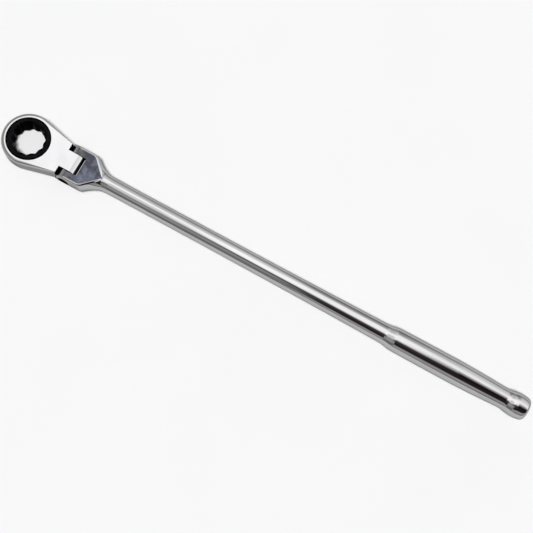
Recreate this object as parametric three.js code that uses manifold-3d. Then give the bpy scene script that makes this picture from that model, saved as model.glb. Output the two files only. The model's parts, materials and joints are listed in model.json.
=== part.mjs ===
// Extra-long flex-head ratcheting box wrench, 19 mm, 12 point.
//
// Every piece is drawn on the tool's own axes: X runs from the centre of the socket towards the
// knob, Y across the head and Z along the socket's axis. The whole tool is then moved so that its
// origin is under the middle of its length, on the surface that the knob and the grip lie on.
// All sizes are in millimetres and all angles in degrees.
import * as THREE from 'three';
import { mergeVertices } from 'three/addons/utils/BufferGeometryUtils.js';
import Module from 'manifold-3d';

const wasm = await Module();
wasm.setup();

// Socket and drive gear
const ACROSS_FLATS = 19.2;            // 19 mm hexagon with its clearance
const SOCKET_POINTS = 12;
const SOCKET_TURN = -5.5;             // from X to the socket's first corner
const MOUTH_R = 11.8;                 // chamfer of each mouth, at the face and at its bottom
const MOUTH_BOTTOM_R = 9.6;
const MOUTH_DEPTH = 1.2;
const GEAR_TEETH = 72;
const GEAR_TIP_R = 14.95;
const GEAR_ROOT_R = 14.35;
const TOOTH_TIP = 0.06;               // half of the flat on each tip and root, as a share of the pitch
const COLLAR_R = 13.85;
const GEAR_HALF_HEIGHT = 6.3;
const TOOTH_HALF_HEIGHT = 3.8;

// Ratchet head
const HEAD_R = 17.6;
const HEAD_HALF = 6.0;                // half the thickness
const HEAD_ROUND = 2.2;               // edge rounding on the ring
const SHOULDER_X = 26.1;
const SHOULDER_HALF = 11.3;
const SHOULDER_ROUND = 0.5;
const TONGUE_ROOT_X = 21.1;
const TONGUE_HALF = 6.15;
const LIP_R = 14.05;                  // hole in the fixed lip above the teeth
const LIP_Z = 4.0;
const CAVITY_R = 15.25;               // room for the teeth, open below
const GROOVE_R = 15.95;               // groove of the retaining ring
const GROOVE_Z = [-5.1, -4.1];

// Retaining ring
const RING_OUTER_R = 15.75;
const RING_INNER_R = 14.3;
const RING_OPENING = 14;              // half of its opening
const RING_GAP = 0.1;                 // above and below it in the groove

// Flex pivot
const PIN_X = 32.4;
const PIN_R = 2.25;
const PIN_CLEARANCE = 0.06;
const PIN_CHAMFER = 0.35;
const PIN_HALF = 11.75;               // half its length
const PIN_RECESS_R = 3.9;             // counterbore around each end of the pin
const PIN_RECESS = 1.2;
const TONGUE_R = 6.0;                 // round end of the tongue, about the pin
const EAR_R = 6.05;                   // round ends of the ears, and half the yoke's thickness

// Handle
const YOKE_HALF_WIDTH = 12.75;
const SLOT_HALF = 6.4;
const SLOT_X = 38.65;
const YOKE_CORNER_X = 43.4;           // where the yoke's flat starts to taper
const YOKE_CORNER_HALF = 12.2;        // half width of its flat there
const YOKE_SIDE_X = 44.8;             // where its sides start to fall
const FLAT_TIP_X = 54.8;              // where its flat runs out on the round bar
const NECK_X = 60;                    // end of the neck behind the yoke
const NECK_R = 5.85;
const NECK_EASE = 0.58;               // below 1 the neck falls faster at the yoke than at the bar
const NECK_STEP = 1.45;               // between the sections of the neck
const KNOB_R = 8.12;
const TOOL_END_X = 362.2;
// The round bar's radius from the neck to the grip and the knob: [x, radius]
const BAR_PROFILE = [
  [70, 5.75], [261, 6.7], [262.2, 6.84], [265.4, 7.62], [267, 7.82],
  [275, 7.98], [296, 8.06], [311, 8.06], [322, 7.84], [334, 7.42], [343, 7.04], [346.5, 6.94],
  [348, 7.04], [350, 7.66], [351.6, 7.98], [353.4, KNOB_R], [357.6, 8.02], [359.8, 7.66],
  [361.2, 6.9], [362, 5.6], [TOOL_END_X, 4.2],
];

// Detent in the bottom of the slot
const BALL_R = 1.6;
const BALL_X = 40.1;
const DETENT_BORE_R = 1.7;
const DETENT_BORE_END = 48;
const DETENT_TURNS = 6;

// Pawl, in its own frame: X is the way it slides, and its origin is on the gear's rim
const PAWL_ANGLE = -13;               // place of its middle on the gear, from X
const PAWL_SLIDE_ANGLE = 12;          // direction of its slide, from X
const PAWL_FRONT = -2.2;
const PAWL_BACK = 5.0;
const PAWL_HALF_WIDTH = 3.6;
const PAWL_HALF_HEIGHT = 3.7;
const PAWL_BORE_R = 1.3;
const PAWL_BORE_START = 3.2;          // bottom of the spring hole in the pawl
const PAWL_TURNS = 5;
const TOOTH_GAP = 0.13;
const POCKET_FRONT = -3;
const POCKET_BACK = 6.1;
const POCKET_HALF_WIDTH = 3.75;
const POCKET_HALF_HEIGHT = 3.9;
const POCKET_BORE_R = 1.35;
const POCKET_BORE_END = 9.2;          // bottom of the spring hole in the head

// Both coil springs
const SPRING_R = 0.95;                // mean radius of the coil
const SPRING_WIRE_R = 0.2;
const SPRING_GAP = 0.1;               // at each end

const CHROME = [0xd4d4d6, 0.12, 1];   // colour, roughness, metalness
const BLACK_OXIDE = [0x17171a, 0.35, 0.8];
const STEEL = [0x9a9a9c, 0.3, 1];

const FINE = 72;                      // sides of a large round shape
const MEDIUM = 40;
const COARSE = 24;
const PAST = 1;                       // how far a cutting shape runs past the face that it cuts

const radians = THREE.MathUtils.degToRad;

// ---------------------------------------------------------------- shapes

// An outline in X and Y, raised from one height to another
function plate(outline, bottom, top) {
  const shape = new THREE.Shape(outline.map(([x, y]) => new THREE.Vector2(x, y)));
  const geometry = new THREE.ExtrudeGeometry(shape, { depth: top - bottom, bevelEnabled: false });
  return geometry.translate(0, 0, bottom);
}

// An outline in X and Z, carried across Y
function sidePlate(outline, halfWidth) {
  return plate(outline, -halfWidth, halfWidth).rotateX(Math.PI / 2);
}

// A block between its lowest and highest corners
function block(low, high) {
  const size = high.map((value, axis) => value - low[axis]);
  const middle = high.map((value, axis) => (value + low[axis]) / 2);
  return new THREE.BoxGeometry(...size).translate(...middle);
}

// A profile of [height, radius] turned about one axis
function turned(profile, axis, sides) {
  const points = profile.map(([height, radius]) => new THREE.Vector2(radius, height));
  const geometry = new THREE.LatheGeometry(points, sides);
  if (axis === 'x') geometry.rotateZ(-Math.PI / 2);
  if (axis === 'z') geometry.rotateX(Math.PI / 2);
  return geometry;
}

// A plain round bar along one axis, from one place on it to another
function bar(radius, from, to, axis, sides) {
  return turned([[from, 0], [from, radius], [to, radius], [to, 0]], axis, sides);
}

// Points of an arc in degrees, both ends included
function arc(centreX, centreY, radius, from, to, steps) {
  const points = [];
  for (let i = 0; i <= steps; i += 1) {
    const angle = radians(from + (to - from) * (i / steps));
    points.push([centreX + radius * Math.cos(angle), centreY + radius * Math.sin(angle)]);
  }
  return points;
}

// Outlines of equal length at rising heights, skinned and closed with flat ends
function skinned(levels) {
  const count = levels[0].outline.length;
  const positions = levels.flatMap(({ z, outline }) => outline.flatMap(([x, y]) => [x, y, z]));
  const faces = [];
  for (let level = 0; level + 1 < levels.length; level += 1) {
    for (let i = 0; i < count; i += 1) {
      const [a, b] = [level * count + i, level * count + ((i + 1) % count)];
      faces.push(a, b, b + count, a, b + count, a + count);
    }
  }
  const last = (levels.length - 1) * count;
  for (let i = 1; i + 1 < count; i += 1) {
    faces.push(0, i + 1, i, last, last + i, last + i + 1);
  }
  const geometry = new THREE.BufferGeometry();
  geometry.setAttribute('position', new THREE.Float32BufferAttribute(positions, 3));
  geometry.setIndex(faces);
  return geometry;
}

// ---------------------------------------------------------------- solids

// A closed geometry as a solid, with shared corners merged and faces turned outwards
function solid(geometry) {
  const bare = new THREE.BufferGeometry();
  bare.setAttribute('position', geometry.getAttribute('position').clone());
  if (geometry.index) bare.setIndex(geometry.index.clone());
  const merged = mergeVertices(bare, 1e-5);
  const place = merged.getAttribute('position');
  const triangles = [];
  let volume = 0;
  const [a, b, c] = [new THREE.Vector3(), new THREE.Vector3(), new THREE.Vector3()];
  for (let i = 0; i < merged.index.count; i += 3) {
    const corner = [0, 1, 2].map((k) => merged.index.getX(i + k));
    if (new Set(corner).size < 3) continue;
    triangles.push(corner);
    a.fromBufferAttribute(place, corner[0]);
    b.fromBufferAttribute(place, corner[1]);
    c.fromBufferAttribute(place, corner[2]);
    volume += a.dot(b.cross(c));
  }
  if (volume < 0) triangles.forEach((corner) => corner.reverse());
  return new wasm.Manifold(new wasm.Mesh({
    numProp: 3,
    vertProperties: Float32Array.from(place.array),
    triVerts: Uint32Array.from(triangles.flat()),
  }));
}

// A solid with holes of the given shapes
function cut(body, ...holes) {
  return holes.reduce((rest, hole) => rest.subtract(solid(hole)), body);
}

// A named mesh of a solid
function part(name, body, [color, roughness, metalness]) {
  const { vertProperties, triVerts } = body.getMesh();
  const indexed = new THREE.BufferGeometry();
  indexed.setAttribute('position', new THREE.BufferAttribute(vertProperties, 3));
  indexed.setIndex(new THREE.BufferAttribute(triVerts, 1));
  const geometry = indexed.toNonIndexed();
  geometry.computeVertexNormals();
  const material = new THREE.MeshStandardMaterial({ color, roughness, metalness });
  const mesh = new THREE.Mesh(geometry, material);
  mesh.name = name;
  return mesh;
}

// ---------------------------------------------------------------- drive gear

// The gear's toothed outline, grown by an offset
function toothOutline(offset) {
  const pitch = 360 / GEAR_TEETH;
  const tooth = [
    [-TOOTH_TIP, GEAR_TIP_R], [TOOTH_TIP, GEAR_TIP_R],
    [0.5 - TOOTH_TIP, GEAR_ROOT_R], [0.5 + TOOTH_TIP, GEAR_ROOT_R],
  ];
  const points = [];
  for (let i = 0; i < GEAR_TEETH; i += 1) {
    for (const [share, radius] of tooth) {
      const angle = radians((i + share) * pitch);
      points.push([(radius + offset) * Math.cos(angle), (radius + offset) * Math.sin(angle)]);
    }
  }
  return points;
}

function socketOutline() {
  const cornerR = ACROSS_FLATS / Math.sqrt(3);
  const innerR = ACROSS_FLATS / 2 / Math.cos(Math.PI / SOCKET_POINTS);
  const points = [];
  for (let i = 0; i < 2 * SOCKET_POINTS; i += 1) {
    const angle = radians(SOCKET_TURN + (i * 180) / SOCKET_POINTS);
    const radius = i % 2 ? innerR : cornerR;
    points.push([radius * Math.cos(angle), radius * Math.sin(angle)]);
  }
  return points;
}

// The chamfer in the upper mouth of the socket
function mouth() {
  const slope = (MOUTH_R - MOUTH_BOTTOM_R) / MOUTH_DEPTH;
  const bottom = GEAR_HALF_HEIGHT - MOUTH_DEPTH;
  const top = GEAR_HALF_HEIGHT + PAST;
  const profile = [[bottom, 0], [bottom, MOUTH_BOTTOM_R], [top, MOUTH_R + slope * PAST], [top, 0]];
  return turned(profile, 'z', FINE);
}

function driveGear() {
  const end = GEAR_HALF_HEIGHT;
  const teeth = solid(plate(toothOutline(0), -TOOTH_HALF_HEIGHT, TOOTH_HALF_HEIGHT));
  const blank = teeth.add(solid(bar(COLLAR_R, -end, end, 'z', FINE)));
  const socket = plate(socketOutline(), -end - PAST, end + PAST);
  return cut(blank, socket, mouth(), mouth().rotateX(Math.PI));
}

// ---------------------------------------------------------------- pawl

// The pawl's own frame, seen from the socket's centre
const pawlFrame = new THREE.Matrix4()
  .makeRotationZ(radians(PAWL_SLIDE_ANGLE))
  .setPosition(
    GEAR_TIP_R * Math.cos(radians(PAWL_ANGLE)),
    GEAR_TIP_R * Math.sin(radians(PAWL_ANGLE)),
    0,
  );

// A block with a spring hole in its back and the gear's teeth in its front
function pawl() {
  const blank = block(
    [PAWL_FRONT, -PAWL_HALF_WIDTH, -PAWL_HALF_HEIGHT],
    [PAWL_BACK, PAWL_HALF_WIDTH, PAWL_HALF_HEIGHT],
  );
  const springHole = bar(PAWL_BORE_R, PAWL_BORE_START, PAWL_BACK + PAST, 'x', COARSE);
  const gear = plate(toothOutline(TOOTH_GAP), -PAWL_HALF_HEIGHT - PAST, PAWL_HALF_HEIGHT + PAST);
  return cut(solid(blank), springHole, gear.applyMatrix4(pawlFrame.clone().invert()));
}

// ---------------------------------------------------------------- ratchet head

// The head's outline at one height: the ring and the straight lines from it to the shoulders
function headOutline(radius, shoulder) {
  const reach = Math.hypot(SHOULDER_X, shoulder);
  const lean = Math.atan2(shoulder, SHOULDER_X) + Math.acos(radius / reach);
  const start = THREE.MathUtils.radToDeg(lean);
  return [
    [SHOULDER_X, -shoulder], [SHOULDER_X, shoulder],
    ...arc(0, 0, radius, start, 360 - start, FINE - COARSE),
  ];
}

// The ring with its rounded edges, the web behind it, and the tongue
function headBlank() {
  const levels = [];
  const steps = 4;
  for (const side of [-1, 1]) {
    for (let i = 0; i <= steps; i += 1) {
      const turn = (Math.PI / 2) * (side < 0 ? 1 - i / steps : i / steps);
      const inset = 1 - Math.cos(turn);
      levels.push({
        z: side * (HEAD_HALF - HEAD_ROUND * (1 - Math.sin(turn))),
        outline: headOutline(HEAD_R - HEAD_ROUND * inset, SHOULDER_HALF - SHOULDER_ROUND * inset),
      });
    }
  }
  const roundEnd = arc(PIN_X, 0, TONGUE_R, -90, 90, COARSE);
  const tongue = [[TONGUE_ROOT_X, -TONGUE_R], ...roundEnd, [TONGUE_ROOT_X, TONGUE_R]];
  return solid(skinned(levels)).add(solid(sidePlate(tongue, TONGUE_HALF)));
}

function pinHole(halfWidth) {
  const reach = halfWidth + PAST;
  return bar(PIN_R + PIN_CLEARANCE, -reach, reach, 'y', COARSE).translate(PIN_X, 0, 0);
}

function headBody() {
  const below = -HEAD_HALF - PAST;
  const pocket = block(
    [POCKET_FRONT, -POCKET_HALF_WIDTH, -POCKET_HALF_HEIGHT],
    [POCKET_BACK, POCKET_HALF_WIDTH, POCKET_HALF_HEIGHT],
  );
  return cut(
    headBlank(),
    bar(CAVITY_R, below, LIP_Z, 'z', FINE),
    bar(GROOVE_R, ...GROOVE_Z, 'z', FINE),
    bar(LIP_R, below, HEAD_HALF + PAST, 'z', FINE),
    pocket.applyMatrix4(pawlFrame),
    bar(POCKET_BORE_R, 0, POCKET_BORE_END, 'x', COARSE).applyMatrix4(pawlFrame),
    pinHole(TONGUE_HALF),
  );
}

// Open spring ring that holds the gear in from below
function retainingRing() {
  const [start, end] = [180 + RING_OPENING, 540 - RING_OPENING];
  const outline = [
    ...arc(0, 0, RING_OUTER_R, start, end, FINE - 12),
    ...arc(0, 0, RING_INNER_R, end, start, FINE - 12),
  ];
  return solid(plate(outline, GROOVE_Z[0] + RING_GAP, GROOVE_Z[1] - RING_GAP));
}

// ---------------------------------------------------------------- springs

class Helix extends THREE.Curve {
  constructor(from, to, turns) {
    super();
    Object.assign(this, { from, to, turns });
  }

  getPoint(share, target = new THREE.Vector3()) {
    const angle = share * this.turns * 2 * Math.PI;
    const along = this.from + (this.to - this.from) * share;
    return target.set(along, SPRING_R * Math.cos(angle), SPRING_R * Math.sin(angle));
  }
}

// A coil spring along X, between the two faces that it presses on
function coil(from, to, turns) {
  const wire = new THREE.Shape();
  wire.absarc(0, 0, SPRING_WIRE_R, 0, 2 * Math.PI);
  const inset = SPRING_GAP + SPRING_WIRE_R;
  const extrudePath = new Helix(from + inset, to - inset, turns);
  return solid(new THREE.ExtrudeGeometry(wire, { steps: turns * 12, curveSegments: 3, extrudePath }));
}

// ---------------------------------------------------------------- handle and pivot

// Half width of the bar behind the yoke, at mid height: a smooth fall to the round bar
function necked(x) {
  const share = THREE.MathUtils.clamp((x - YOKE_SIDE_X) / (NECK_X - YOKE_SIDE_X), 0, 1);
  return NECK_R + (YOKE_HALF_WIDTH - NECK_R) * (1 + Math.cos(Math.PI * share ** NECK_EASE)) / 2;
}

// Half height of the same oval section. Up to the flat's tip it is such that the yoke's thickness
// cuts from it a flat whose edge runs in a straight line from the yoke's corner to that tip.
function ovalHeight(x) {
  if (x >= FLAT_TIP_X) {
    return THREE.MathUtils.mapLinear(x, FLAT_TIP_X, NECK_X, EAR_R, NECK_R);
  }
  const flat = THREE.MathUtils.mapLinear(x, YOKE_CORNER_X, FLAT_TIP_X, YOKE_CORNER_HALF, 0);
  return EAR_R / Math.sqrt(1 - (flat / necked(x)) ** 2);
}

// The bar with its neck, grip and knob, and a round billet that the yoke is cut from
function handleBlank() {
  const billetR = 20;
  const billetEnd = YOKE_CORNER_X - 2;
  const start = PIN_X - EAR_R - PAST;
  const profile = [[start, 0], [start, billetR], [billetEnd, billetR]];
  for (const [from, to] of [[YOKE_CORNER_X, FLAT_TIP_X], [FLAT_TIP_X, NECK_X]]) {
    for (let x = from; x < to; x += NECK_STEP) {
      profile.push([x, ovalHeight(x)]);
    }
  }
  profile.push([NECK_X, NECK_R], ...BAR_PROFILE, [TOOL_END_X, 0]);
  const geometry = turned(profile, 'x', MEDIUM);
  const place = geometry.getAttribute('position');
  for (let i = 0; i < place.count; i += 1) {
    const x = place.getX(i);
    if (x > billetEnd + PAST && x < NECK_X) {
      place.setY(i, (place.getY(i) * necked(x)) / ovalHeight(x));
    }
  }
  return solid(geometry);
}

function handle() {
  const clear = KNOB_R + PAST;
  const envelope = sidePlate([
    ...arc(PIN_X, 0, EAR_R, 90, 270, COARSE),
    [FLAT_TIP_X, -EAR_R], [FLAT_TIP_X, -clear], [TOOL_END_X + PAST, -clear],
    [TOOL_END_X + PAST, clear], [FLAT_TIP_X, clear], [FLAT_TIP_X, EAR_R],
  ], YOKE_HALF_WIDTH);
  const slot = block([0, -SLOT_HALF, -clear], [SLOT_X, SLOT_HALF, clear]);
  const recess = [YOKE_HALF_WIDTH - PIN_RECESS, YOKE_HALF_WIDTH + PAST];
  return cut(
    handleBlank().intersect(solid(envelope)),
    slot,
    pinHole(YOKE_HALF_WIDTH),
    bar(PIN_RECESS_R, ...recess, 'y', COARSE).translate(PIN_X, 0, 0),
    bar(PIN_RECESS_R, ...recess, 'y', COARSE).rotateZ(Math.PI).translate(PIN_X, 0, 0),
    bar(DETENT_BORE_R, SLOT_X - PAST, DETENT_BORE_END, 'x', COARSE),
  );
}

function flexPin() {
  const [end, edge] = [PIN_HALF, PIN_HALF - PIN_CHAMFER];
  const rim = PIN_R - PIN_CHAMFER;
  const profile = [[-end, 0], [-end, rim], [-edge, PIN_R], [edge, PIN_R], [end, rim], [end, 0]];
  return solid(turned(profile, 'y', COARSE));
}

// ---------------------------------------------------------------- the wrench

const pin = part('flex_pin', flexPin(), BLACK_OXIDE);
pin.position.x = PIN_X;

const ball = part('detent_ball', solid(new THREE.SphereGeometry(BALL_R, 20, 12)), STEEL);
ball.position.x = BALL_X;

const detentCoil = coil(BALL_X + BALL_R, DETENT_BORE_END, DETENT_TURNS);

const pawlGroup = new THREE.Group();
pawlGroup.applyMatrix4(pawlFrame);
pawlGroup.add(
  part('pawl', pawl(), STEEL),
  part('pawl_spring', coil(PAWL_BORE_START, POCKET_BORE_END, PAWL_TURNS), STEEL),
);

const group = new THREE.Group();
group.add(
  part('handle', handle(), CHROME),
  pin,
  ball,
  part('detent_spring', detentCoil, STEEL),
  part('ratchet_head', headBody(), CHROME),
  part('drive_gear', driveGear(), BLACK_OXIDE),
  part('retaining_ring', retainingRing(), STEEL),
  pawlGroup,
);
group.position.set(-(TOOL_END_X - HEAD_R) / 2, 0, KNOB_R);

export default group;
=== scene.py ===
"""Looks of the flex-head ratcheting box wrench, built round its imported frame.

Shapes are drawn in millimetres on the tool's own axes: X from the socket's centre towards the
knob, Y across the head, Z along the socket's axis. They are scaled to metres and moved into the
frame when they are finished.
"""
import json
import math

import bmesh
import bpy
from mathutils import Matrix, Vector

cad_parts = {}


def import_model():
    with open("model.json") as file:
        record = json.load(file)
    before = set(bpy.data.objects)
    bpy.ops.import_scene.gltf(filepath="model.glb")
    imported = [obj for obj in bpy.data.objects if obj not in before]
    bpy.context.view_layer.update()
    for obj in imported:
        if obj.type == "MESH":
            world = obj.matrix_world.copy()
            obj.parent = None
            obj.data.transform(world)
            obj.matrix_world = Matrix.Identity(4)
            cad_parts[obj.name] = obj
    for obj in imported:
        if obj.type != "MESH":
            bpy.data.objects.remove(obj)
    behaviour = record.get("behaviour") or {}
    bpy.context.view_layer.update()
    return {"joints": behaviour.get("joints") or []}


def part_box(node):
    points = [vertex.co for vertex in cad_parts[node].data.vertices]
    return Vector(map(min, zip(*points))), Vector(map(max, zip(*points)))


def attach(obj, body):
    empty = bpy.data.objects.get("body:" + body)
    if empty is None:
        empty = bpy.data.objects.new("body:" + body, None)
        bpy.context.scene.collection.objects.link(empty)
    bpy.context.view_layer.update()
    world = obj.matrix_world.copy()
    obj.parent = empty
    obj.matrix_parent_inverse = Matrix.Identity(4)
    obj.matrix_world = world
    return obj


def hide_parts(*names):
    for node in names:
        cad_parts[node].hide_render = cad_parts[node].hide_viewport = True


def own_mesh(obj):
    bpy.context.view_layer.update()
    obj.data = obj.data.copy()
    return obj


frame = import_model()

MM = 0.001
JOINTS = {joint["name"]: joint for joint in frame["joints"]}
SOCKET = Vector(JOINTS["gear_turn"]["pos_m"])
FLEX = Vector(JOINTS["head_flex"]["pos_m"])
PIN_X = (FLEX.x - SOCKET.x) / MM
PLACE = Matrix.Translation(SOCKET) @ Matrix.Scale(MM, 4)


def reach(node, axis, end):
    """How far a CAD node reaches from the socket's centre along one axis, in millimetres."""
    return (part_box(node)[end][axis] - SOCKET[axis]) / MM


# ------------------------------------------------------------------ driving dimensions, mm

ACROSS_FLATS = 19.2
SOCKET_POINTS = 12
SOCKET_TURN = -5.5              # degrees from X to the socket's first corner
GEAR_HALF = reach("drive_gear", 2, 1)
GEAR_TIP_R = reach("drive_gear", 0, 1)
GEAR_ROOT_R = 14.35
GEAR_TEETH = 72
TOOTH_HALF = 3.8
COLLAR_R = 13.85
COLLAR_ROUND = 0.45
MOUTH_R = 11.8
MOUTH_BOTTOM_R = 9.6
MOUTH_DEPTH = 1.2

HEAD_R = -reach("ratchet_head", 0, 0)
HEAD_HALF = reach("ratchet_head", 2, 1)
HEAD_ROUND = 2.2
SHOULDER_X = 26.1
SHOULDER_HALF = 11.3
SHOULDER_ROUND = 0.5
TONGUE_HALF = 6.15
TONGUE_R = reach("ratchet_head", 0, 1) - PIN_X
LIP_R = 14.05
LIP_Z = 4.0
LIP_CHAMFER = 0.55
CAVITY_R = 15.25
GROOVE_R = 15.95
GROOVE_Z = (-5.1, -4.1)

PIN_R = 2.25
PIN_CLEARANCE = 0.06
PIN_HALF = reach("flex_pin", 1, 1)
PIN_RECESS_R = 3.9
PIN_RECESS = 1.2
EAR_R = PIN_X - reach("handle", 0, 0)

YOKE_HALF = reach("handle", 1, 1)
SLOT_HALF = 6.4
SLOT_X = 38.65
YOKE_CORNER_X = 43.4
YOKE_CORNER_HALF = 12.0
YOKE_SIDE_X = 44.8
YOKE_EDGE = 0.9                 # rounding along the flats' edges
YOKE_BORDER = 0.8               # the flats' polished border, which falls away to that rounding
BORDER_SLOPE = 0.2              # of that border where the rounding starts
CORNER_EASE = 1.8               # softens the flats' corners in plan
SLOT_CHAMFER = 0.5
FLAT_TIP_X = 55.3
NECK_X = 60.0
NECK_R = 5.85
NECK_EASE = 0.58
KNOB_R = reach("handle", 2, 1)
TOOL_END_X = reach("handle", 0, 1)
BAR_PROFILE = (
    (NECK_X, NECK_R), (70, 5.75), (259.5, 6.69), (261.4, 6.82), (265.8, 7.62), (268, 7.84),
    (275, 7.98), (296, 8.06), (311, 8.06), (322, 7.84), (334, 7.42), (343, 7.03), (346, 6.95),
    (347.8, 7.06), (351, 7.7), (353, 8.0), (355, KNOB_R), (357.8, 8.02), (359.8, 7.66),
    (361.2, 6.9), (362, 5.6), (TOOL_END_X, 4.2),
)

BALL_R = 1.6
BALL_X = reach("detent_ball", 0, 1) - BALL_R
DETENT_BORE_R = 1.7
DETENT_BORE_END = 48.0

PAWL_ANGLE = -13.0              # place of its middle on the gear, degrees from X
PAWL_SLIDE_ANGLE = 12.0         # direction of its slide, degrees from X
PAWL_FRONT = -2.2
PAWL_BACK = 5.0
PAWL_HALF_WIDTH = 3.6
PAWL_HALF_HEIGHT = 3.7
PAWL_BORE_R = 1.3
PAWL_BORE_START = 3.2
TOOTH_GAP = 0.13
POCKET = ((-3.0, -3.75, -3.9), (6.1, 3.75, 3.9))
POCKET_BORE_R = 1.35
POCKET_BORE_END = 9.2

SPRING_R = 0.95
SPRING_WIRE_R = 0.2
SPRING_GAP = 0.1


# ------------------------------------------------------------------ mesh helpers


def mesh_object(name, points, faces):
    mesh = bpy.data.meshes.new(name)
    mesh.from_pydata([tuple(point) for point in points], [], faces)
    body = bpy.data.objects.new(name, mesh)
    bpy.context.scene.collection.objects.link(body)
    edit = bmesh.new()
    edit.from_mesh(mesh)
    bmesh.ops.recalc_face_normals(edit, faces=edit.faces)
    edit.to_mesh(mesh)
    edit.free()
    return body


def loft(name, rings):
    """A closed body skinned over rings of equal length, with a flat face at each end."""
    count = len(rings[0])
    points = [point for ring in rings for point in ring]
    faces = []
    for low in range(0, len(points) - count, count):
        for i in range(count):
            j = (i + 1) % count
            faces.append((low + i, low + j, low + count + j, low + count + i))
    faces.append(tuple(range(count)))
    faces.append(tuple(range(len(points) - count, len(points))))
    return mesh_object(name, points, faces)


def prism(name, outline, bottom, top):
    """An outline in X and Y, raised from one height to another."""
    return loft(name, [[(x, y, z) for x, y in outline] for z in (bottom, top)])


def block(name, low, high):
    outline = ((low[0], low[1]), (high[0], low[1]), (high[0], high[1]), (low[0], high[1]))
    return prism(name, outline, low[2], high[2])


def turned(name, profile, axis, sides):
    """A profile of (place along the axis, radius) turned about one axis."""
    rings = []
    for along, radius in profile:
        ring = []
        for i in range(sides):
            angle = 2 * math.pi * i / sides
            across = (radius * math.cos(angle), radius * math.sin(angle))
            ring.append({
                "x": (along, across[0], across[1]),
                "y": (across[1], along, across[0]),
                "z": (across[0], across[1], along),
            }[axis])
        rings.append(ring)
    return loft(name, rings)


def arc(radius, start, end, steps):
    """Points of an arc about the origin, in degrees, both ends included."""
    turns = [math.radians(start + (end - start) * i / steps) for i in range(steps + 1)]
    return [(radius * math.cos(turn), radius * math.sin(turn)) for turn in turns]


def moved(body, matrix):
    body.data.transform(matrix)
    return body


def baked(body):
    """The body with its modifiers applied."""
    graph = bpy.context.evaluated_depsgraph_get()
    mesh = bpy.data.meshes.new_from_object(body.evaluated_get(graph))
    body.modifiers.clear()
    old = body.data
    body.data = mesh
    bpy.data.meshes.remove(old)
    return body


def combined(body, operation, others):
    for other in others:
        modifier = body.modifiers.new(other.name, "BOOLEAN")
        modifier.operation = operation
        modifier.solver = "EXACT"
        modifier.object = other
    baked(body)
    for other in others:
        bpy.data.meshes.remove(other.data)
    edit = bmesh.new()
    edit.from_mesh(body.data)
    bmesh.ops.remove_doubles(edit, verts=edit.verts, dist=1e-4)
    bmesh.ops.dissolve_degenerate(edit, edges=edit.edges, dist=1e-4)
    edit.to_mesh(body.data)
    edit.free()
    return body


def cut(body, *holes):
    return combined(body, "DIFFERENCE", holes)


def finished(body, node, owner, material, bevel=0.15, sharp=35):
    """Puts a shape in the frame, softens its edges, and lets it stand for its CAD node."""
    body.data.transform(PLACE)
    body.data.polygons.foreach_set("use_smooth", [True] * len(body.data.polygons))
    body.data.set_sharp_from_angle(angle=math.radians(sharp))
    if bevel:
        edges = body.modifiers.new("edges", "BEVEL")
        edges.width = bevel * MM
        edges.segments = 3
        edges.limit_method = "ANGLE"
        edges.angle_limit = math.radians(sharp)
        edges.use_clamp_overlap = True
    normals = body.modifiers.new("normals", "WEIGHTED_NORMAL")
    normals.keep_sharp = True
    body.data.materials.clear()
    body.data.materials.append(material)
    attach(body, owner)
    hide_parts(node)
    return body


def smooth_path(points, step):
    """Points about a step apart on a smooth line through the given ones, without overshoot."""
    places = [0.0]
    for a, b in zip(points, points[1:]):
        places.append(places[-1] + math.hypot(b[0] - a[0], b[1] - a[1]))
    spans = [b - a for a, b in zip(places, places[1:])]
    slopes = []
    for axis in (0, 1):
        rises = [(b[axis] - a[axis]) / span for a, b, span in zip(points, points[1:], spans)]
        inner = []
        for i in range(len(rises) - 1):
            before, after = rises[i], rises[i + 1]
            if before * after <= 0:
                inner.append(0.0)
                continue
            w_before = 2 * spans[i + 1] + spans[i]
            w_after = spans[i + 1] + 2 * spans[i]
            inner.append((w_before + w_after) / (w_before / before + w_after / after))
        slopes.append([rises[0], *inner, rises[-1]])
    path = []
    for k, span in enumerate(spans):
        parts = max(3, math.ceil(span / step)) if span < 40 else 12
        for i in range(parts):
            t = i / parts
            point = []
            for axis in (0, 1):
                a, b = points[k][axis], points[k + 1][axis]
                u, v = slopes[axis][k] * span, slopes[axis][k + 1] * span
                point.append(
                    a * (2 * t**3 - 3 * t**2 + 1) + u * (t**3 - 2 * t**2 + t)
                    + b * (3 * t**2 - 2 * t**3) + v * (t**3 - t**2)
                )
            path.append(tuple(point))
    path.append(tuple(points[-1]))
    return path


# ------------------------------------------------------------------ handle


def necked(x):
    """Half width of the handle at mid height: full at the yoke, falling to the round bar."""
    share = min(max((x - YOKE_SIDE_X) / (NECK_X - YOKE_SIDE_X), 0), 1)
    return NECK_R + (YOKE_HALF - NECK_R) * (1 + math.cos(math.pi * share**NECK_EASE)) / 2


def oval_height(x):
    """Half height of the same oval before the flats are cut on it."""
    if x >= FLAT_TIP_X:
        return EAR_R + (NECK_R - EAR_R) * (x - FLAT_TIP_X) / (NECK_X - FLAT_TIP_X)
    line = YOKE_CORNER_HALF * (FLAT_TIP_X - x) / (FLAT_TIP_X - YOKE_CORNER_X)
    eased = max(CORNER_EASE - abs(line - YOKE_CORNER_HALF), 0) ** 2 / (4 * CORNER_EASE)
    half = min(line, YOKE_CORNER_HALF) - eased
    return EAR_R / math.sqrt(1 - (half / necked(x)) ** 2)


# points of a quarter section: on the flat, round its edge and down the side
FLAT_POINTS = 10
CORNER_POINTS = 6
SIDE_POINTS = 15
QUARTER_POINTS = FLAT_POINTS + CORNER_POINTS + SIDE_POINTS
FLAT_TIP_HALF = 0.35            # half width of the flat's band of points at its very end


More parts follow.
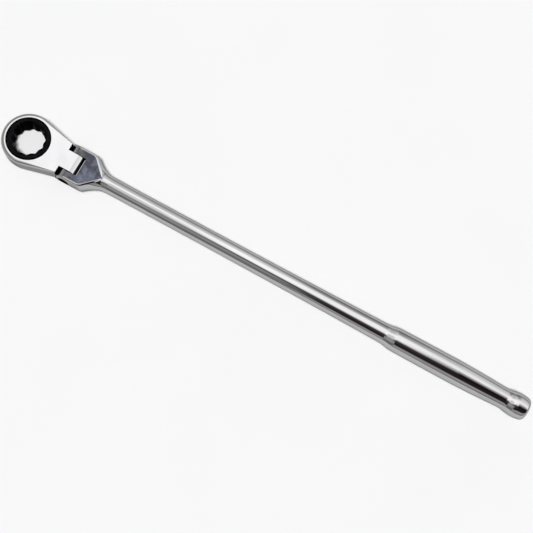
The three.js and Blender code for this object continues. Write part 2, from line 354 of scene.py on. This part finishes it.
def flat_quarter(x):
    """A quarter of the section where it has a flat: the flat, its rounded edge and the side."""
    a, b = necked(x), oval_height(x)
    top = EAR_R if x >= PIN_X else math.sqrt(EAR_R**2 - (PIN_X - x) ** 2)
    edge = max(a * math.sqrt(max(1 - (top / b) ** 2, 0)), FLAT_TIP_HALF)
    rounding = min(YOKE_EDGE, 0.45 * top, 0.45 * edge)
    border = min(YOKE_BORDER, 0.45 * top, 0.4 * edge)
    inner = edge - rounding - border
    corner = math.acos(edge / a)
    pace = math.hypot(a * math.sin(corner), b * math.cos(corner))
    side = corner - min(rounding / pace, 0.5 * corner)

    def surface(y):
        fall = BORDER_SLOPE * max(y - inner, 0) ** 2 / (2 * border)
        return min(top - fall, b * math.sqrt(1 - (y / a) ** 2))

    points = []
    for i in range(FLAT_POINTS // 2):
        y = inner * i / (FLAT_POINTS // 2)
        points.append((y, surface(y)))
    for i in range(FLAT_POINTS // 2):
        y = inner + border * i / (FLAT_POINTS // 2)
        points.append((y, surface(y)))
    start = (inner + border, surface(inner + border))
    end = (a * math.cos(side), b * math.sin(side))
    steep = b * math.cos(side) / (a * math.sin(side))
    meet = (end[1] + steep * end[0] - start[1] - BORDER_SLOPE * start[0]) / (steep - BORDER_SLOPE)
    meet = min(max(meet, start[0] + 0.3 * (end[0] - start[0])), end[0])
    middle = (meet, start[1] - BORDER_SLOPE * (meet - start[0]))
    for i in range(CORNER_POINTS):
        t = i / CORNER_POINTS
        points.append(tuple(
            (1 - t) ** 2 * p + 2 * t * (1 - t) * q + t**2 * r
            for p, q, r in zip(start, middle, end)
        ))
    for i in range(SIDE_POINTS + 1):
        angle = side * (1 - i / SIDE_POINTS)
        points.append((a * math.cos(angle), b * math.sin(angle)))
    return points


def round_quarter(x, a, b):
    """A quarter of the round bar's section. Its points open out evenly behind the flat's tip."""
    share = min((x - FLAT_TIP_X) / (NECK_X - FLAT_TIP_X), 1)
    even = a * math.sin(math.pi / 2 * FLAT_POINTS / QUARTER_POINTS)
    edge = FLAT_TIP_HALF + (even - FLAT_TIP_HALF) * share
    corner = math.acos(edge / a)
    even_side = corner * SIDE_POINTS / (CORNER_POINTS + SIDE_POINTS)
    side = even_side + (corner - FLAT_TIP_HALF / a - even_side) * (1 - share)
    stops = (math.pi / 2, corner, side, 0)
    points = []
    for k, count in enumerate((FLAT_POINTS, CORNER_POINTS, SIDE_POINTS)):
        for i in range(count):
            angle = stops[k] + (stops[k + 1] - stops[k]) * i / count
            points.append((a * math.cos(angle), b * math.sin(angle)))
    points.append((a, 0.0))
    return points


def mirrored(x, quarter):
    """A whole section from its quarter, as points at one place along the tool."""
    back = quarter[-2::-1]
    around = [(y, z) for y, z in quarter]
    around += [(y, -z) for y, z in back]
    around += [(-y, -z) for y, z in quarter[1:]]
    around += [(-y, z) for y, z in back[:-1]]
    return [(x, y, z) for y, z in around]


def handle_blank():
    rings = []
    ear_steps = 22
    for i in range(ear_steps):
        turn = math.radians(4 + 86 * i / ear_steps)
        x = PIN_X - EAR_R * math.cos(turn)
        rings.append(mirrored(x, flat_quarter(x)))
    stops = ((PIN_X, YOKE_CORNER_X - 2, 4), (YOKE_CORNER_X - 2, FLAT_TIP_X, 40))
    for start, end, steps in stops:
        for i in range(steps):
            x = start + (end - start) * i / steps
            rings.append(mirrored(x, flat_quarter(x)))
    neck_steps = 16
    for i in range(neck_steps):
        x = FLAT_TIP_X + (NECK_X - FLAT_TIP_X) * i / neck_steps
        rings.append(mirrored(x, round_quarter(x, necked(x), oval_height(x))))
    for x, radius in smooth_path(BAR_PROFILE, 0.45):
        rings.append(mirrored(x, round_quarter(x, radius, radius)))
    return loft("wrench_handle", rings)


def slot():
    """The yoke's slot, chamfered where it leaves the flats."""
    rings = []
    for z, wider in ((EAR_R + 1, SLOT_CHAMFER + 1), (EAR_R - SLOT_CHAMFER, 0)):
        end, half = SLOT_X + wider, SLOT_HALF + wider
        rings.append([(x, y, z) for x, y in ((0, -half), (end, -half), (end, half), (0, half))])
    below = [[(x, y, -z) for x, y, z in ring] for ring in rings]
    return loft("slot", [below[0], below[1], rings[1], rings[0]])


def handle(material):
    across = YOKE_HALF + 1
    at_pin = Matrix.Translation((PIN_X, 0, 0))
    floor_y = YOKE_HALF - PIN_RECESS
    recess_r, hole_r = PIN_RECESS_R, PIN_R + PIN_CLEARANCE
    body = cut(
        handle_blank(),
        slot(),
        moved(turned("pin_hole", ((-across, hole_r), (across, hole_r)), "y", 48), at_pin),
        moved(turned("recess", ((floor_y, recess_r), (across, recess_r)), "y", 64), at_pin),
        moved(turned("recess", ((-across, recess_r), (-floor_y, recess_r)), "y", 64), at_pin),
        turned("bore", ((SLOT_X - 1, DETENT_BORE_R), (DETENT_BORE_END, DETENT_BORE_R)), "x", 40),
    )
    return finished(body, "handle", "handle", material, bevel=0.3)


# ------------------------------------------------------------------ ratchet head


def head_outline(z):
    """The head's outline at one height: tongue, shoulders, straight sides and ring."""
    rise = max(abs(z) - (HEAD_HALF - HEAD_ROUND), 0) / HEAD_ROUND
    inset = 1 - math.sqrt(max(1 - rise**2, 0))
    radius = HEAD_R - HEAD_ROUND * inset
    shoulder = SHOULDER_HALF - SHOULDER_ROUND * inset
    away = math.hypot(SHOULDER_X, shoulder)
    start = math.atan2(shoulder, SHOULDER_X) + math.acos(radius / away)
    touch = (radius * math.cos(start), radius * math.sin(start))
    end_x = PIN_X + math.sqrt(max(TONGUE_R**2 - z**2, 0))
    side = []
    side_steps = 10
    for i in range(side_steps):
        t = i / side_steps
        x = SHOULDER_X + (touch[0] - SHOULDER_X) * t
        side.append((x, shoulder + (touch[1] - shoulder) * t))
    outline = [(end_x, TONGUE_HALF), (SHOULDER_X, TONGUE_HALF), *side]
    outline += arc(radius, math.degrees(start), 360 - math.degrees(start), 160)
    outline += [(x, -y) for x, y in reversed(outline[: 2 + side_steps])]
    return [(x, y, z) for x, y in outline]


def head_blank():
    straight = HEAD_HALF - HEAD_ROUND
    rounding = [straight + HEAD_ROUND * math.sin(math.pi / 2 * i / 12) for i in range(1, 13)]
    middle = [straight * (i / 6 - 1) for i in range(13)]
    heights = [-z for z in reversed(rounding)] + middle + rounding
    return loft("wrench_head", [head_outline(z) for z in heights])


PAWL_FRAME = Matrix.Translation((
    GEAR_TIP_R * math.cos(math.radians(PAWL_ANGLE)),
    GEAR_TIP_R * math.sin(math.radians(PAWL_ANGLE)),
    0,
)) @ Matrix.Rotation(math.radians(PAWL_SLIDE_ANGLE), 4, "Z")


def head(material):
    past = HEAD_HALF + 1
    gear_hole = turned("gear_hole", (
        (-past, CAVITY_R + 0.4), (-HEAD_HALF, CAVITY_R + 0.4), (-HEAD_HALF + 0.4, CAVITY_R),
        (GROOVE_Z[0], CAVITY_R), (GROOVE_Z[0], GROOVE_R), (GROOVE_Z[1], GROOVE_R),
        (GROOVE_Z[1], CAVITY_R), (LIP_Z, CAVITY_R), (LIP_Z, LIP_R),
        (HEAD_HALF - LIP_CHAMFER, LIP_R), (HEAD_HALF, LIP_R + LIP_CHAMFER),
        (past, LIP_R + LIP_CHAMFER + 1),
    ), "z", 192)
    bore = ((0, POCKET_BORE_R), (POCKET_BORE_END, POCKET_BORE_R))
    hole_r = PIN_R + PIN_CLEARANCE
    across = TONGUE_HALF + 1
    body = cut(
        head_blank(),
        gear_hole,
        moved(block("pocket", *POCKET), PAWL_FRAME),
        moved(turned("spring_bore", bore, "x", 32), PAWL_FRAME),
        moved(
            turned("pin_bore", ((-across, hole_r), (across, hole_r)), "y", 48),
            Matrix.Translation((PIN_X, 0, 0)),
        ),
    )
    return finished(body, "ratchet_head", "head", material, bevel=0.3)


# ------------------------------------------------------------------ drive gear


def tooth_outline(offset):
    tip = 0.06
    tooth = (
        (-tip, GEAR_TIP_R), (tip, GEAR_TIP_R), (0.5 - tip, GEAR_ROOT_R), (0.5 + tip, GEAR_ROOT_R),
    )
    points = []
    for i in range(GEAR_TEETH):
        for share, radius in tooth:
            angle = 2 * math.pi * (i + share) / GEAR_TEETH
            out = radius + offset
            points.append((out * math.cos(angle), out * math.sin(angle)))
    return points


def gear(material):
    teeth = tooth_outline(0)
    rings = []

    def round_ring(radius, z):
        scales = [radius / math.hypot(x, y) for x, y in teeth]
        return [(x * scale, y * scale, z) for (x, y), scale in zip(teeth, scales)]

    shape = [(COLLAR_R, TOOTH_HALF)]
    for i in range(7):
        turn = math.pi / 2 * i / 6
        shape.append((
            COLLAR_R - COLLAR_ROUND * (1 - math.cos(turn)),
            GEAR_HALF - COLLAR_ROUND * (1 - math.sin(turn)),
        ))
    rings += [round_ring(radius, -z) for radius, z in reversed(shape)]
    rings += [[(x, y, z) for x, y in teeth] for z in (-TOOTH_HALF, TOOTH_HALF)]
    rings += [round_ring(radius, z) for radius, z in shape]
    socket = []
    corner_r = ACROSS_FLATS / math.sqrt(3)
    inner_r = ACROSS_FLATS / 2 / math.cos(math.pi / SOCKET_POINTS)
    for i in range(2 * SOCKET_POINTS):
        angle = math.radians(SOCKET_TURN + 180 * i / SOCKET_POINTS)
        radius = inner_r if i % 2 else corner_r
        socket.append((radius * math.cos(angle), radius * math.sin(angle)))
    slope = (MOUTH_R - MOUTH_BOTTOM_R) / MOUTH_DEPTH
    bottom = GEAR_HALF - MOUTH_DEPTH
    mouth = ((bottom, MOUTH_BOTTOM_R), (GEAR_HALF + 1, MOUTH_R + slope))
    body = cut(
        loft("wrench_gear", rings),
        prism("socket", socket, -GEAR_HALF - 1, GEAR_HALF + 1),
        turned("mouth", mouth, "z", 144),
        turned("mouth", [(-z, radius) for z, radius in reversed(mouth)], "z", 144),
    )
    return finished(body, "drive_gear", "gear", material, bevel=0.14, sharp=20)


# ------------------------------------------------------------------ small steel pieces


def ring(material):
    opening = 14
    outline = arc(GROOVE_R - 0.2, 180 + opening, 540 - opening, 120)
    outline += arc(GROOVE_R - 1.65, 540 - opening, 180 + opening, 120)
    body = prism("wrench_ring", outline, GROOVE_Z[0] + 0.1, GROOVE_Z[1] - 0.1)
    return finished(body, "retaining_ring", "head", material, bevel=0.12)


def pin(material):
    chamfer = 0.35
    profile = [(PIN_HALF, PIN_R - chamfer), (PIN_HALF - chamfer, PIN_R)]
    profile = [(-along, radius) for along, radius in profile] + list(reversed(profile))
    body = moved(turned("wrench_pin", profile, "y", 64), Matrix.Translation((PIN_X, 0, 0)))
    return finished(body, "flex_pin", "handle", material, bevel=0.1)


def ball(material):
    profile = []
    for i in range(1, 24):
        turn = math.pi * i / 24
        profile.append((-BALL_R * math.cos(turn), BALL_R * math.sin(turn)))
    body = moved(turned("wrench_ball", profile, "x", 48), Matrix.Translation((BALL_X, 0, 0)))
    return finished(body, "detent_ball", "ball", material, bevel=0)


def pawl(material):
    low = (PAWL_FRONT, -PAWL_HALF_WIDTH, -PAWL_HALF_HEIGHT)
    high = (PAWL_BACK, PAWL_HALF_WIDTH, PAWL_HALF_HEIGHT)
    past = PAWL_HALF_HEIGHT + 1
    bore = ((PAWL_BORE_START, PAWL_BORE_R), (PAWL_BACK + 1, PAWL_BORE_R))
    body = cut(
        block("wrench_pawl", low, high),
        turned("pawl_bore", bore, "x", 32),
        moved(prism("teeth", tooth_outline(TOOTH_GAP), -past, past), PAWL_FRAME.inverted()),
    )
    moved(body, PAWL_FRAME)
    return finished(body, "pawl", "pawl", material, bevel=0.06)


def coil(name, start, end, turns):
    """A coil spring along X with closed ends, as a tube of round wire."""
    sides, steps = 10, 28 * turns
    inset = SPRING_GAP + SPRING_WIRE_R
    closed = 1.0
    rings = []
    for i in range(steps + 1):
        turn = turns * i / steps
        open_turns = turns - 2 * closed
        pitch_share = min(max((turn - closed) / open_turns, 0), 1)
        tight = 2.1 * SPRING_WIRE_R * (min(turn, closed) + max(turn - turns + closed, 0))
        span = end - start - 2 * inset - 4.2 * SPRING_WIRE_R * closed
        along = start + inset + tight + span * pitch_share
        angle = 2 * math.pi * turn
        out = Vector((0, math.cos(angle), math.sin(angle)))
        ring = []
        for k in range(sides):
            around = 2 * math.pi * k / sides
            offset = out * math.cos(around) + Vector((1, 0, 0)) * math.sin(around)
            ring.append(Vector((along, 0, 0)) + out * SPRING_R + offset * SPRING_WIRE_R)
        rings.append(ring)
    return loft(name, rings)


def springs(material):
    detent = coil("wrench_detent_spring", BALL_X + BALL_R, DETENT_BORE_END, 6)
    finished(detent, "detent_spring", "handle", material, bevel=0)
    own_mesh(baked(detent))
    back = moved(coil("wrench_pawl_spring", PAWL_BORE_START, POCKET_BORE_END, 5), PAWL_FRAME)
    finished(back, "pawl_spring", "head", material, bevel=0)
    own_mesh(baked(back))


# ------------------------------------------------------------------ materials


class Paint:
    """A node material that is built up one node at a time."""

    def __init__(self, name):
        self.material = bpy.data.materials.new(name)
        self.material.use_nodes = True
        self.tree = self.material.node_tree
        self.shader = self.tree.nodes["Principled BSDF"]
        own = self.node("ShaderNodeTexCoord").outputs
        self.place = own["Object"]
        self.facing = own["Normal"]

    def node(self, kind, **settings):
        made = self.tree.nodes.new(kind)
        for key, value in settings.items():
            setattr(made, key, value)
        return made

    def link(self, value, socket):
        if hasattr(value, "is_output"):
            self.tree.links.new(value, socket)
        else:
            socket.default_value = value

    def math(self, operation, *values):
        made = self.node("ShaderNodeMath", operation=operation)
        for value, socket in zip(values, made.inputs):
            self.link(value, socket)
        return made.outputs[0]

    def noise(self, scale, stretch=(1, 1, 1), detail=3.0, rough=0.55):
        mapping = self.node("ShaderNodeMapping")
        mapping.inputs["Scale"].default_value = stretch
        self.link(self.place, mapping.inputs["Vector"])
        made = self.node("ShaderNodeTexNoise")
        made.inputs["Scale"].default_value = scale
        made.inputs["Detail"].default_value = detail
        made.inputs["Roughness"].default_value = rough
        self.link(mapping.outputs[0], made.inputs["Vector"])
        return made.outputs["Fac"]

    def axes(self, vector):
        made = self.node("ShaderNodeSeparateXYZ")
        self.link(vector, made.inputs[0])
        return made.outputs

    def spread(self, value, low, high, start=0.3, end=0.7):
        """A value between start and end, stretched to run from low to high."""
        made = self.node("ShaderNodeMapRange")
        ends = {"From Min": start, "From Max": end, "To Min": low, "To Max": high}
        for name, number in ends.items():
            made.inputs[name].default_value = number
        self.link(value, made.inputs["Value"])
        return made.outputs[0]

    def mix(self, share, first, second):
        made = self.node("ShaderNodeMix", data_type="RGBA")
        self.link(share, made.inputs["Factor"])
        for value, socket in ((first, made.inputs["A"]), (second, made.inputs["B"])):
            self.link(value if hasattr(value, "is_output") else (*value, 1), socket)
        return made.outputs["Result"]

    def edge(self, start=0.53, end=0.6):
        """1 on convex edges, where handling rubs, and 0 elsewhere."""
        pointiness = self.node("ShaderNodeNewGeometry").outputs["Pointiness"]
        return self.spread(pointiness, 0, 1, start, end)

    def bump(self, height, strength, distance=0.0001, before=None):
        made = self.node("ShaderNodeBump")
        made.inputs["Strength"].default_value = strength
        made.inputs["Distance"].default_value = distance
        self.link(height, made.inputs["Height"])
        if before is not None:
            self.link(before, made.inputs["Normal"])
        return made.outputs[0]

    def finish(self, color, roughness, normal, metallic=1.0):
        self.shader.inputs["Metallic"].default_value = metallic
        self.link(color, self.shader.inputs["Base Color"])
        self.link(roughness, self.shader.inputs["Roughness"])
        self.link(normal, self.shader.inputs["Normal"])
        return self.material


CHROME_LIGHT = (0.6, 0.6, 0.605)
CHROME_DARK = (0.55, 0.55, 0.56)
CHROME_EDGE = (0.38, 0.38, 0.38, 1)        # tint of what it mirrors at a grazing angle
OXIDE_EDGE = (0.4, 0.4, 0.4, 1)
# painted reflection: the polished flats are coloured the dull blue-gray they mirror, not a finish
# of their own
FLAT_LIGHT = (0.155, 0.165, 0.215)
FLAT_DARK = (0.062, 0.066, 0.083)
FLAT_EARS = (0.14, 0.138, 0.13)
FLAT_FADE_Y = 0.009             # painted light: the flats' colour grows paler towards -Y over this, m each side
# painted shade: near black for the slot, the gap at the hinge and the recesses round the pin
PAINTED_SHADE = (0.02, 0.02, 0.022)
WALL_SKIN = 0.12                # counts as the slot's wall beyond its face, mm


def chrome():
    paint = Paint("polished_chrome")
    cloud = paint.noise(60)
    color = paint.mix(paint.spread(cloud, 0, 1), CHROME_LIGHT, CHROME_DARK)

    # painted shade: the steep faces of the hinge are painted near black for the shade in the gap
    # between head and handle
    upright = paint.math("ABSOLUTE", paint.axes(paint.facing)["Z"])
    along = paint.axes(paint.place)["X"]
    hinge = paint.math("GREATER_THAN", along, SOCKET.x + (SHOULDER_X - 0.35) * MM)
    steep = paint.math("MULTIPLY", hinge, paint.spread(upright, 1, 0, 0.2, 0.4))
    color = paint.mix(steep, color, PAINTED_SHADE)

    scratches = paint.noise(900, (1, 12, 1), 4)
    rubbed = paint.math("MULTIPLY", paint.edge(), 0.06)
    rough = paint.math("ADD", paint.spread(scratches, 0.03, 0.08), rubbed)
    normal = paint.bump(paint.noise(45, detail=1.0), 0.05, 0.0003)
    paint.shader.inputs["Specular Tint"].default_value = CHROME_EDGE
    return paint.finish(color, rough, paint.bump(scratches, 0.02, before=normal))


def flat_reflection_color(paint, place, mottle, wander):
    """Painted reflection on the flats: the dull blue-gray they mirror, mottled, paler towards -Y,
    with painted shade beside the slot, and warmer on the ears.
    """
    front = paint.spread(place["Y"], 0.25, -0.25, -FLAT_FADE_Y, FLAT_FADE_Y)
    # painted shade: the flats darken beside the slot
    shade_beside_slot = paint.spread(place["X"], -0.6, 0, FLEX.x + 0.004, FLEX.x + 0.012)
    share = paint.math("ADD", paint.spread(mottle, 0, 1, 0.36, 0.64), front)
    blue = paint.mix(paint.math("ADD", share, shade_beside_slot), FLAT_DARK, FLAT_LIGHT)
    along = paint.math("ADD", place["X"], wander)
    ears = paint.spread(along, 1, 0, FLEX.x - 0.002, FLEX.x + 0.004)
    return paint.mix(ears, blue, FLAT_EARS)


def flat_area(paint, place, normal, wander):
    """1 on the flats, inside their polished border, where their painted reflection goes, and 0
    elsewhere.
    """
    tilt = paint.math("ABSOLUTE", normal["X"])
    tilt = paint.math("ADD", tilt, paint.math("MULTIPLY", wander, 12))
    level = paint.spread(paint.math("ABSOLUTE", normal["Y"]), 1, 0, 0.08, 0.16)
    level = paint.math("MULTIPLY", level, paint.spread(tilt, 1, 0, 0.08, 0.3))
    tip_x = SOCKET.x + (FLAT_TIP_X - 0.2) * MM
    return paint.math("MULTIPLY", level, paint.spread(place["X"], 1, 0, tip_x - MM, tip_x))


def painted_shade_area(paint, place, upright):
    """Painted shade: 1 inside the slot, on the ears' ends and in the recesses round the pin, and 0
    elsewhere.
    """
    before_end = paint.math("LESS_THAN", place["X"], SOCKET.x + (SLOT_X + WALL_SKIN) * MM)
    aside = paint.math("ABSOLUTE", place["Y"])
    between = paint.math("LESS_THAN", aside, (SLOT_HALF + WALL_SKIN) * MM)
    ear_end = paint.math("LESS_THAN", place["X"], FLEX.x - 0.83 * EAR_R * MM)
    inside = paint.math("MULTIPLY", before_end, paint.math("MAXIMUM", between, ear_end))
    inside = paint.math("MULTIPLY", inside, paint.spread(upright, 1, 0, 0.35, 0.6))

    across = paint.node("ShaderNodeCombineXYZ")
    paint.link(place["X"], across.inputs["X"])
    paint.link(place["Z"], across.inputs["Z"])
    from_pin = paint.node("ShaderNodeVectorMath", operation="DISTANCE")
    paint.link(across.outputs[0], from_pin.inputs[0])
    from_pin.inputs[1].default_value = (FLEX.x, 0, FLEX.z)
    near_pin = paint.math("LESS_THAN", from_pin.outputs["Value"], (PIN_RECESS_R + 0.1) * MM)
    recess = paint.math("MULTIPLY", near_pin, paint.math("LESS_THAN", upright, 0.99))
    return paint.math("MAXIMUM", inside, recess)


def chrome_handle():
    paint = Paint("drawn_chrome")
    normal, place = paint.axes(paint.facing), paint.axes(paint.place)
    upright = paint.math("ABSOLUTE", normal["Z"])
    mottle = paint.noise(210, detail=4, rough=0.5)
    wander = paint.math("SUBTRACT", paint.noise(330, detail=4), 0.5)
    wander = paint.math("MULTIPLY", wander, 0.02)

    color = paint.mix(paint.spread(paint.noise(50), 0, 1), CHROME_LIGHT, CHROME_DARK)
    on_flat = flat_area(paint, place, normal, wander)
    # painted reflection on the flats
    color = paint.mix(on_flat, color, flat_reflection_color(paint, place, mottle, wander))
    # painted shade in the slot, on the ears' ends and round the pin
    color = paint.mix(painted_shade_area(paint, place, upright), color, PAINTED_SHADE)

    lines = paint.noise(700, (0.02, 1, 1), 3)
    rough = paint.math("ADD", paint.spread(lines, 0.03, 0.08), paint.math("MULTIPLY", on_flat, 0.2))
    rough = paint.math("ADD", rough, paint.math("MULTIPLY", paint.edge(), 0.05))
    fine = paint.bump(lines, 0.03)
    paint.shader.inputs["Specular Tint"].default_value = CHROME_EDGE
    return paint.finish(color, rough, paint.bump(mottle, 0.03, 0.0003, before=fine))


def black_oxide():
    paint = Paint("black_oxide")
    blotch = paint.noise(160, detail=5)
    color = paint.mix(paint.spread(blotch, 0, 1), (0.004, 0.004, 0.0045), (0.011, 0.011, 0.0125))
    color = paint.mix(paint.math("MULTIPLY", paint.edge(), 0.25), color, (0.1, 0.1, 0.105))
    grain = paint.noise(2500, detail=2)
    rough = paint.spread(blotch, 0.26, 0.42)
    paint.shader.inputs["Specular Tint"].default_value = OXIDE_EDGE
    return paint.finish(color, rough, paint.bump(grain, 0.15))


def steel(name, light, dark, low, high, stretch=(1, 1, 1)):
    paint = Paint(name)
    blotch = paint.noise(300, stretch, 4)
    color = paint.mix(paint.spread(blotch, 0, 1), light, dark)
    color = paint.mix(paint.math("MULTIPLY", paint.edge(), 0.3), color, (0.8, 0.8, 0.8))
    grain = paint.noise(1800, stretch, 3)
    return paint.finish(color, paint.spread(grain, low, high), paint.bump(grain, 0.08))


# ------------------------------------------------------------------ studio

CAMERA_AT = Vector((0.0261, -0.1482, 0.6311))
CAMERA_TARGET = Vector((0.0009, 0.0039, 0.0))
CAMERA_ROLL = 19.27           # degrees
CAMERA_LENS = 67.5              # on a sensor 36 mm wide

FLOOR_HALF = 4.0
FLOOR_MIRRORED = (0.72, 0.72, 0.725)    # the floor as the chrome mirrors it: painted shade, darker to stand in for the tool's shadow on the floor
DOME = 0.22                     # the even light that the matt surfaces get from all round
FRONT_LIGHT = 2.75              # the soft light beside the camera, W/m2
FRONT_SPREAD = 12.0             # its width in the sky, degrees

# What the chrome mirrors: a bright panel overhead, dark flags in front and gray walls. A band is
# (degrees, brightness) by the angle round the tool's length, which is 0 overhead and grows towards
# the front. The bands shift from the head's end of the room to the knob's end, so STUDIO says
# between which two values of a direction's x each set takes over from the one before.
WARMTH = 0.007                  # what the red of every band is brighter by
NOSE = ((-180, 0.4), (180, 0.4))
BY_HEAD = (
    (-180, 0.9), (-80, 0.4), (-40, 0.8), (-15, 1.6), (0, 1.0), (22, 0.85), (28, 0.35), (50, 0.45),
    (70, 0.16), (90, 0.3), (106, 0.8), (180, 0.8),
)
BY_SHANK = (
    (-180, 0.9), (-80, 0.35), (-40, 1.0), (-20, 1.6), (5, 1.6), (17, 0.8), (21, 0.04), (27, 0.04),
    (33, 0.35), (50, 0.35), (70, 0.18), (110, 0.75), (180, 0.75),
)
BY_GRIP = (
    (-180, 0.8), (-82, 0.2), (-54, 0.5), (-30, 1.45), (0, 1.5), (11, 0.8), (20, 0.06), (54, 0.01),
    (70, 0.42), (80, 0.42), (90, 0.25), (104, 0.5), (180, 0.6),
)
BY_KNOB = (
    (-180, 0.8), (-90, 0.25), (-60, 0.9), (-20, 1.4), (2, 0.35), (12, 0.01), (53, 0.02), (61, 0.42),
    (70, 0.45), (90, 0.15), (104, 0.4), (180, 0.6),
)
BUTT = ((-180, 0.36), (180, 0.36))
STUDIO = (
    ((-0.38, -0.31), BY_HEAD), ((-0.2, -0.06), BY_SHANK), ((-0.045, 0.012), BY_GRIP),
    ((0.08, 0.21), BY_KNOB), ((0.88, 0.98), BUTT),
)


def camera():
    data = bpy.data.cameras.new("camera")
    data.sensor_width = 36
    data.lens = CAMERA_LENS
    data.clip_start = 0.01
    data.clip_end = 50
    holder = bpy.data.objects.new("camera", data)
    bpy.context.scene.collection.objects.link(holder)
    aim = (CAMERA_TARGET - CAMERA_AT).to_track_quat("-Z", "Y").to_matrix().to_4x4()
    roll = Matrix.Rotation(math.radians(CAMERA_ROLL), 4, "Z")
    holder.matrix_world = Matrix.Translation(CAMERA_AT) @ aim @ roll
    bpy.context.scene.camera = holder


def light_bands(tree, angle, stops):
    """Brightness by angle, as a ramp over the whole turn."""
    ramp = tree.nodes.new("ShaderNodeValToRGB")
    ramp.color_ramp.interpolation = "EASE"
    tree.links.new(angle, ramp.inputs[0])
    elements = ramp.color_ramp.elements
    elements.remove(elements[1])
    elements[0].position = 0
    top = max(brightness for _, brightness in stops) + WARMTH
    for i, (degrees, brightness) in enumerate(stops):
        stop = elements[0] if i == 0 else elements.new(degrees / 360 + 0.5)
        stop.color = ((brightness + WARMTH) / top, brightness / top, brightness / top, 1)
    scaled = tree.nodes.new("ShaderNodeVectorMath")
    scaled.operation = "SCALE"
    scaled.inputs["Scale"].default_value = top
    tree.links.new(ramp.outputs[0], scaled.inputs[0])
    return scaled.outputs[0]


def world():
    made = bpy.data.worlds.new("studio")
    made.use_nodes = True
    bpy.context.scene.world = made
    tree = made.node_tree
    nodes, links = tree.nodes, tree.links

    def calc(operation, *values):
        node = nodes.new("ShaderNodeMath")
        node.operation = operation
        for value, socket in zip(values, node.inputs):
            if hasattr(value, "is_output"):
                links.new(value, socket)
            else:
                socket.default_value = value
        return node.outputs[0]

    def mixed(share, first, second):
        node = nodes.new("ShaderNodeMix")
        node.data_type = "RGBA"
        links.new(share, node.inputs["Factor"])
        for value, socket in ((first, node.inputs["A"]), (second, node.inputs["B"])):
            if hasattr(value, "is_output"):
                links.new(value, socket)
            else:
                socket.default_value = (*value, 1)
        return node.outputs["Result"]

    axes = nodes.new("ShaderNodeSeparateXYZ")
    links.new(nodes.new("ShaderNodeTexCoord").outputs["Generated"], axes.inputs[0])
    x, y, z = axes.outputs
    turn = calc("ARCTAN2", calc("MULTIPLY", y, -1.0), z)
    angle = calc("ADD", calc("DIVIDE", turn, 2 * math.pi), 0.5)
    mirrored = light_bands(tree, angle, NOSE)
    for (start, end), bands in STUDIO:
        along = nodes.new("ShaderNodeMapRange")
        along.interpolation_type = "SMOOTHSTEP"
        along.inputs["From Min"].default_value = start
        along.inputs["From Max"].default_value = end
        links.new(x, along.inputs["Value"])
        mirrored = mixed(along.outputs[0], mirrored, light_bands(tree, angle, bands))
    path = nodes.new("ShaderNodeLightPath").outputs
    lit = mixed(path["Is Glossy Ray"], (DOME, DOME, DOME), mirrored)
    shown = mixed(path["Is Camera Ray"], lit, (0.95, 0.95, 0.95))
    links.new(shown, nodes["Background"].inputs["Color"])


def floor():
    half = FLOOR_HALF
    corners = ((-half, -half, 0), (half, -half, 0), (half, half, 0), (-half, half, 0))
    ground = mesh_object("floor", corners, [(0, 1, 2, 3)])
    paint = Paint("pale_floor")
    tone = paint.mix(paint.spread(paint.noise(8), 0, 1), (0.9, 0.9, 0.9), (0.885, 0.885, 0.89))
    # painted shade: the floor is darker in the chrome's reflections than to the camera
    mirrored = paint.node("ShaderNodeLightPath").outputs["Is Glossy Ray"]
    tone = paint.mix(mirrored, tone, FLOOR_MIRRORED)
    grain = paint.noise(400)
    ground.data.materials.append(
        paint.finish(tone, paint.spread(grain, 0.7, 0.8), paint.bump(grain, 0.02), 0.0)
    )


def front_light():
    """A broad soft light beside the camera for the floor. The chrome mirrors only the studio."""
    data = bpy.data.lights.new("front", "SUN")
    data.energy = FRONT_LIGHT
    data.angle = math.radians(FRONT_SPREAD)
    lamp = bpy.data.objects.new("front", data)
    aim = (CAMERA_TARGET - CAMERA_AT).to_track_quat("-Z", "Y").to_matrix().to_4x4()
    lamp.matrix_world = Matrix.Translation(CAMERA_AT) @ aim
    lamp.visible_glossy = False
    bpy.context.scene.collection.objects.link(lamp)


camera()
world()
floor()
front_light()
bpy.context.scene.view_settings.view_transform = "Standard"

handle(chrome_handle())
head(chrome())
oxide = black_oxide()
gear(oxide)
spring_steel = steel("spring_steel", (0.42, 0.42, 0.44), (0.3, 0.3, 0.31), 0.22, 0.38)
ground_steel = steel("ground_steel", (0.6, 0.6, 0.61), (0.48, 0.48, 0.49), 0.12, 0.3, (1, 8, 1))
ring(spring_steel)
# the pin takes the black oxide so its ends read as painted shade in the recesses round it
pin(oxide)
ball(ground_steel)
pawl(ground_steel)
springs(spring_steel)
